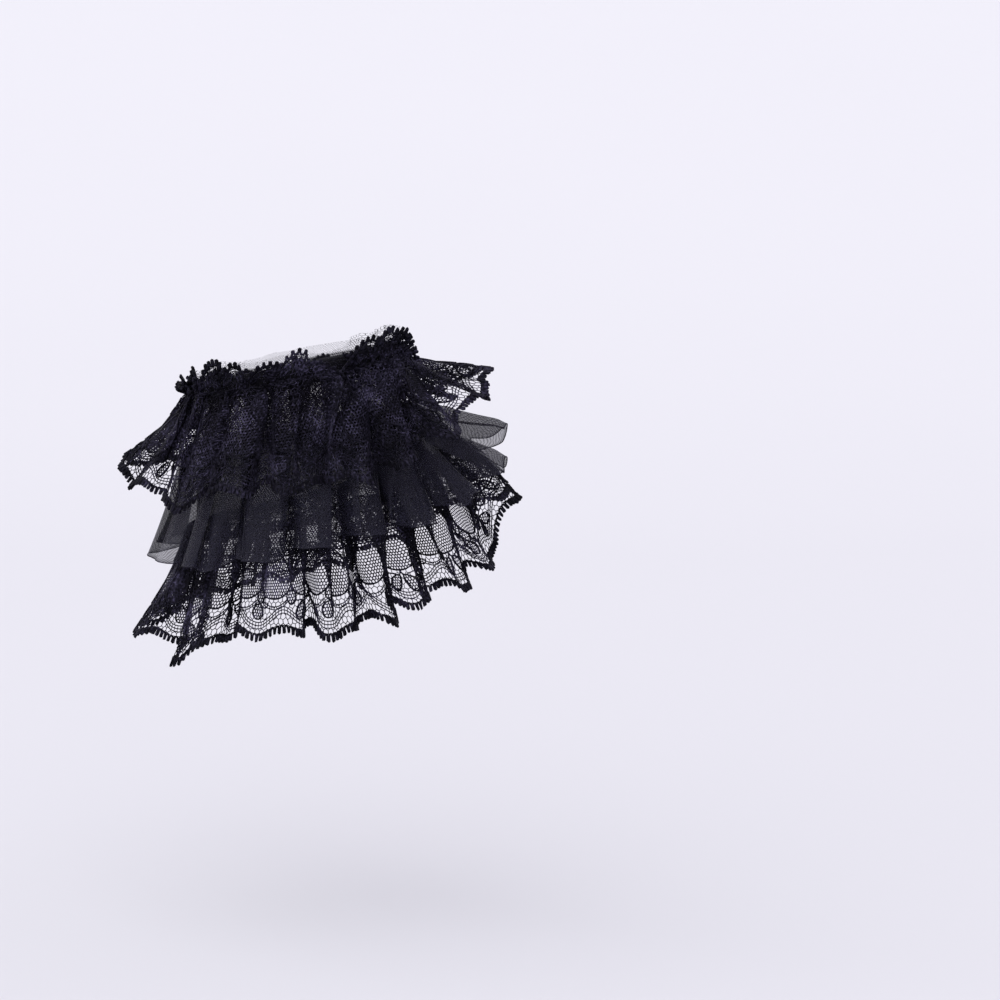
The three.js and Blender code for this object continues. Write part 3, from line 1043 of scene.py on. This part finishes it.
def from_middle(x, y):
    """How far out in a six-sided cell of width 1 a point is: 0 in its middle and 0.5 at its edge."""
    return x.math("MAXIMUM", x, 0.5 * x + math.sqrt(3) / 2 * y)


def fine_tulle():
    """Fine net of six-sided cells, matt and soft, doubled in the tube and single in its frill."""
    finish = Finish("fine tulle", Specular_IOR_Level=0.1, Roughness=0.8)
    count = round(2 * math.pi * NET_RADIUS / TULLE["cell"])
    scale = count / (2 * math.pi * NET_RADIUS)
    place = finish.place((scale, scale, 1), ON_CLOTH)
    fibres = finish.noise(place, 0.3, 2.0)
    x, y, single = finish.parts(place)
    tall = math.sqrt(3)
    first = from_middle(x.wrapped(1), y.wrapped(tall))
    second = from_middle((x + 0.5).wrapped(1), (y + tall / 2).wrapped(tall))
    near = 0.5 - first.math("MINIMUM", first, second)
    half = (TULLE["tube"] + (TULLE["frill"] - TULLE["tube"]) * single) * (scale / 2)
    thread = near.math("LESS_THAN", near, half)
    finish.set(Base_Color=finish.between(fibres, (0.003, 0.003, 0.005), (0.012, 0.0105, 0.018)))
    finish.set(Alpha=thread.math("MAXIMUM", thread, TULLE["haze"] * (1 - single)))
    return finish.material


def ribbed_elastic():
    """Woven elastic: matt black with ribs that run along it."""
    finish = Finish("woven elastic", Specular_IOR_Level=0.25)
    place = finish.place(IN_MM)
    ribs = finish.bands(place, 0.5, "Z", 0.2)
    fibres = finish.noise(place, 1.5, 3.0)
    shade = 0.5 * ribs + 0.5 * fibres
    finish.set(Base_Color=finish.between(shade, (0.006, 0.006, 0.008), (0.02, 0.02, 0.026)))
    finish.set(Roughness=0.7 + 0.2 * fibres)
    finish.bump(ribs + 0.4 * fibres, 0.0002)
    return finish.material


# The second colour of each yarn is its painted violet highlight
NET_THREAD = lace_thread("lace net thread", (0.001, 0.0009, 0.002), (0.062, 0.056, 0.1), 0.5)
CORD_THREAD = lace_thread("lace cord", (0.0008, 0.0007, 0.0017), (0.034, 0.031, 0.054), 0.45)
TULLE_FINISH = fine_tulle()
ORGANZA_FINISH = sheer_organza()
ELASTIC_FINISH = ribbed_elastic()


# The pieces

UPPER = Ruffle(UPPER_LACE)
MIDDLE = Ruffle(ORGANZA)
LOWER = Ruffle(LOWER_LACE)
TUBE_GRID = {"round": 480, "below": 24, "above": 9}
# The tube's turned hem is this tall, and its casing's seams lie this far above and below the elastic
TUBE_SEAMS = {"hem": 1.6, "casing": 0.6}
# The organza's rows lie closer towards its hem by this power
ORGANZA_GRID = {"round": 1400, "down": 28, "power": 0.9}
# How far below each ruffle's seam line its rows of stitches lie, their points round the cuff, and their lift
# off the cloth
STITCHES = {"rows": ((UPPER, (-0.7, 0.9)), (MIDDLE, (0.8,)), (LOWER, (0.8,))), "round": 900, "lift": 0.2}


def shirred_elastic():
    """The elastic, puckered by the stitches that gather the cloth onto it."""
    yarn = Yarn()
    angles = np.arange(360) * 1.0
    pucker = waves(angles / 360, PUCKERS)
    rings = []
    for turn in 2 * np.pi * np.arange(ELASTIC["steps"]) / ELASTIC["steps"]:
        thick = ELASTIC["half_thick"] * np.clip(ELASTIC["squared"] * math.sin(turn), -1, 1)
        level = ELASTIC["tall"] / 2 * math.cos(turn)
        rings.append(on_tube(angles, level + 0 * angles, ELASTIC_RADIUS + thick + pucker))
    yarn.weave(np.stack(rings, axis=1), closed_across=True)
    return yarn.piece("shirred_elastic", ELASTIC_FINISH)


def tulle_tube():
    """The soft net tube under the ruffles, with its frill above the elastic and its turned hem."""
    cloth = Tube()
    yarn = Yarn()
    s = np.linspace(0, cloth.length, TUBE_GRID["round"], endpoint=False)
    below = np.linspace(NET["bottom"], NET["neck"], TUBE_GRID["below"])
    above = np.linspace(NET["neck"], NET["top"], TUBE_GRID["above"])[1:]
    s_grid, d_grid = np.meshgrid(s, -np.concatenate([below, above]), indexing="ij")
    yarn.weave(cloth.lie(s_grid, d_grid)[0])
    single = np.clip(-d_grid - NET["neck"], 0, 1)
    place = np.stack([s_grid, d_grid, single], axis=-1).reshape(-1, 3)
    made = yarn.piece("tulle_tube", TULLE_FINISH, place)
    hem = Yarn()
    casing = ELASTIC["tall"] / 2 + TUBE_SEAMS["casing"]
    for level in (NET["bottom"], NET["bottom"] + TUBE_SEAMS["hem"], -casing, casing):
        hem.ring(cloth, s, -level, SEWN["tulle"])
    hemmed = hem.piece("tulle_seams", CORD_THREAD)
    return made


def organza_skirt():
    """The plain organza ruffle, one thin sheet with a narrow rolled hem."""
    s = np.linspace(0, MIDDLE.length, ORGANZA_GRID["round"], endpoint=False)
    d = MIDDLE.wide * np.linspace(0, 1, ORGANZA_GRID["down"]) ** ORGANZA_GRID["power"]
    s_grid, d_grid = np.meshgrid(s, d, indexing="ij")
    yarn = Yarn()
    yarn.weave(MIDDLE.lie(s_grid, d_grid)[0])
    at_hem = (np.arange(len(d)) == len(d) - 1) + 0 * d_grid
    place = np.stack([s_grid, d_grid, at_hem], axis=-1).reshape(-1, 3)
    made = yarn.piece("organza_skirt", ORGANZA_FINISH, place)
    hem = Yarn()
    hem.ring(MIDDLE, s, MIDDLE.wide, SEWN["organza"])
    rolled = hem.piece("organza_hem", CORD_THREAD)
    MIDDLE.wide * MM
    return made


def lace_piece(name, yarns, wide):
    """A lace's net with the cords that lie on it. The size that it was cut to, wide, is not used."""
    made = yarns[0].piece(name, NET_THREAD)
    cords = [yarn.piece(name + "_cords", CORD_THREAD) for yarn in yarns[1:]]
    wide * MM
    return made


def gathering_stitches():
    """The rows of stitches that gather the three ruffles onto the tube."""
    yarn = Yarn()
    for cloth, levels in STITCHES["rows"]:
        s = np.linspace(0, cloth.length, STITCHES["round"], endpoint=False)
        for d in levels:
            yarn.ring(cloth, s, d, SEWN["gathers"], lift=STITCHES["lift"])
    return yarn.piece("gathering_stitches", CORD_THREAD)


elastic = shirred_elastic()
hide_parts("elastic_band")

tube = tulle_tube()
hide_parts("net_tube")

heading = lace_piece("lace_frill", Lace(UPPER).heading(), UPPER_LACE["heading"])
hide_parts("lace_heading")

upper = lace_piece("upper_lace", Lace(UPPER).skirt(), UPPER.wide)
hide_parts("upper_lace_ruffle")

organza = organza_skirt()
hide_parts("organza_ruffle")

lower = lace_piece("lower_lace", Lace(LOWER).skirt(), LOWER.wide)
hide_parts("lower_lace_ruffle")

stitches = gathering_stitches()


# The studio

BACKDROP = (0.85, 0.83, 0.925)
COVE = {"floor": -215, "wide": 9000, "start": 900, "radius": 2500, "steep": 50, "steps": 40}
SUN = {"energy": 1.8, "broad": 110, "tilt": 50, "turn": -48}


def pale_cove():
    """A wide floor that curves up into the backdrop behind it, as one sheet of paper."""
    yarn = Yarn()
    bend = np.radians(np.linspace(0, COVE["steep"], COVE["steps"]))
    depth = np.append(-COVE["wide"], COVE["start"] + COVE["radius"] * np.sin(bend))
    height = COVE["floor"] + np.append(0, COVE["radius"] * (1 - np.cos(bend)))
    profile = np.stack([0 * depth, depth, height], axis=-1)
    side = np.array([COVE["wide"], 0, 0])
    count = len(profile)
    i = np.arange(count - 1)
    faces = np.stack([i, i + count, i + count + 1, i + 1], axis=-1)
    yarn.add(np.concatenate([profile - side, profile + side]), faces)
    finish = Finish("pale cove", Roughness=0.9, Specular_IOR_Level=0.1)
    faint = finish.noise(finish.place((1, 1, 1)), 3.0)
    finish.set(Base_Color=finish.between(faint, (0.676, 0.676, 0.694), (0.686, 0.685, 0.703)))
    yarn.piece("cove", finish.material)


def soft_light():
    """Even light from all round, and a broad soft light from the upper left."""
    scene = bpy.context.scene
    scene.world = bpy.data.worlds.new("studio")
    scene.world.use_nodes = True
    backdrop = scene.world.node_tree.nodes["Background"]
    backdrop.inputs["Color"].default_value = (*BACKDROP, 1)
    backdrop.inputs["Strength"].default_value = 1
    sun = bpy.data.lights.new("soft light", "SUN")
    sun.energy = SUN["energy"]
    sun.angle = math.radians(SUN["broad"])
    lamp = bpy.data.objects.new("soft light", sun)
    lamp.rotation_euler = (math.radians(SUN["tilt"]), 0, math.radians(SUN["turn"]))
    scene.collection.objects.link(lamp)
    scene.view_settings.view_transform = "Standard"


pale_cove()
soft_light()
